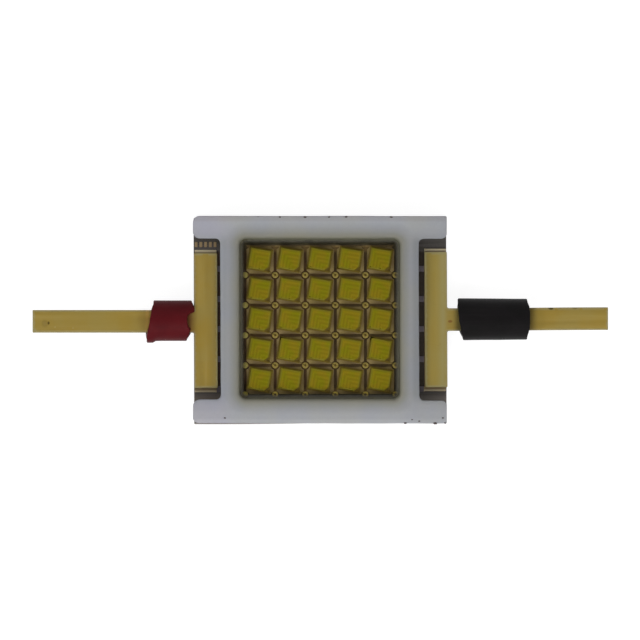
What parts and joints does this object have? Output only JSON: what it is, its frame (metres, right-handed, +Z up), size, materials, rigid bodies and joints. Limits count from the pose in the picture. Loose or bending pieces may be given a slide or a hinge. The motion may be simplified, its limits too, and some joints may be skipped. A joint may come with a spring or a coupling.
{
  "type": "led array",
  "caption": "Square grid of turned light-emitting dice with phosphor plates in a white window frame on a dark ceramic base, with gold ribbon leads in red and black sleeves.",
  "frame": {"origin": "bottom centre: on the surface that the part lies on, under the middle of the ceramic base", "axes": "+X along the leads, from the red sleeve to the black one; +Y across the body; +Z up, out of the window"},
  "size_m": [0.0242, 0.0088, 0.0018],
  "materials": {
    "base_ceramic": "matte dark grey fired ceramic",
    "plated_metal": "dull gold plating",
    "gold_wire": "drawn gold",
    "white_moulding": null,
    "clear_fill": "clear gel with a smooth surface",
    "lead_metal": "satin gold plating, faint rolling lines",
    "red_sleeve": "satin shrink tube",
    "black_sleeve": "satin shrink tube",
    "die": "polished semiconductor",
    "phosphor": "matte yellow phosphor"
  },
  "bodies": {
    "root": {"anode_lead": "lead_metal", "anode_sleeve": "red_sleeve", "back_pad": "plated_metal", "bond_wires": "gold_wire", "cathode_lead": "lead_metal", "cathode_sleeve": "black_sleeve", "die_r1_c1": "die", "die_r1_c2": "die", "die_r1_c3": "die", "die_r1_c4": "die", "die_r1_c5": "die", "die_r2_c1": "die", "die_r2_c2": "die", "die_r2_c3": "die", "die_r2_c4": "die", "die_r2_c5": "die", "die_r3_c1": "die", "die_r3_c2": "die", "die_r3_c3": "die", "die_r3_c4": "die", "die_r3_c5": "die", "die_r4_c1": "die", "die_r4_c2": "die", "die_r4_c3": "die", "die_r4_c4": "die", "die_r4_c5": "die", "die_r5_c1": "die", "die_r5_c2": "die", "die_r5_c3": "die", "die_r5_c4": "die", "die_r5_c5": "die", "encapsulant": "clear_fill", "gold_pattern": "plated_metal", "phosphor_r1_c1": "phosphor", "phosphor_r1_c2": "phosphor", "phosphor_r1_c3": "phosphor", "phosphor_r1_c4": "phosphor", "phosphor_r1_c5": "phosphor", "phosphor_r2_c1": "phosphor", "phosphor_r2_c2": "phosphor", "phosphor_r2_c3": "phosphor", "phosphor_r2_c4": "phosphor", "phosphor_r2_c5": "phosphor", "phosphor_r3_c1": "phosphor", "phosphor_r3_c2": "phosphor", "phosphor_r3_c3": "phosphor", "phosphor_r3_c4": "phosphor", "phosphor_r3_c5": "phosphor", "phosphor_r4_c1": "phosphor", "phosphor_r4_c2": "phosphor", "phosphor_r4_c3": "phosphor", "phosphor_r4_c4": "phosphor", "phosphor_r4_c5": "phosphor", "phosphor_r5_c1": "phosphor", "phosphor_r5_c2": "phosphor", "phosphor_r5_c3": "phosphor", "phosphor_r5_c4": "phosphor", "phosphor_r5_c5": "phosphor", "substrate": "base_ceramic", "window_frame": "white_moulding"}
  },
  "joints": []
}
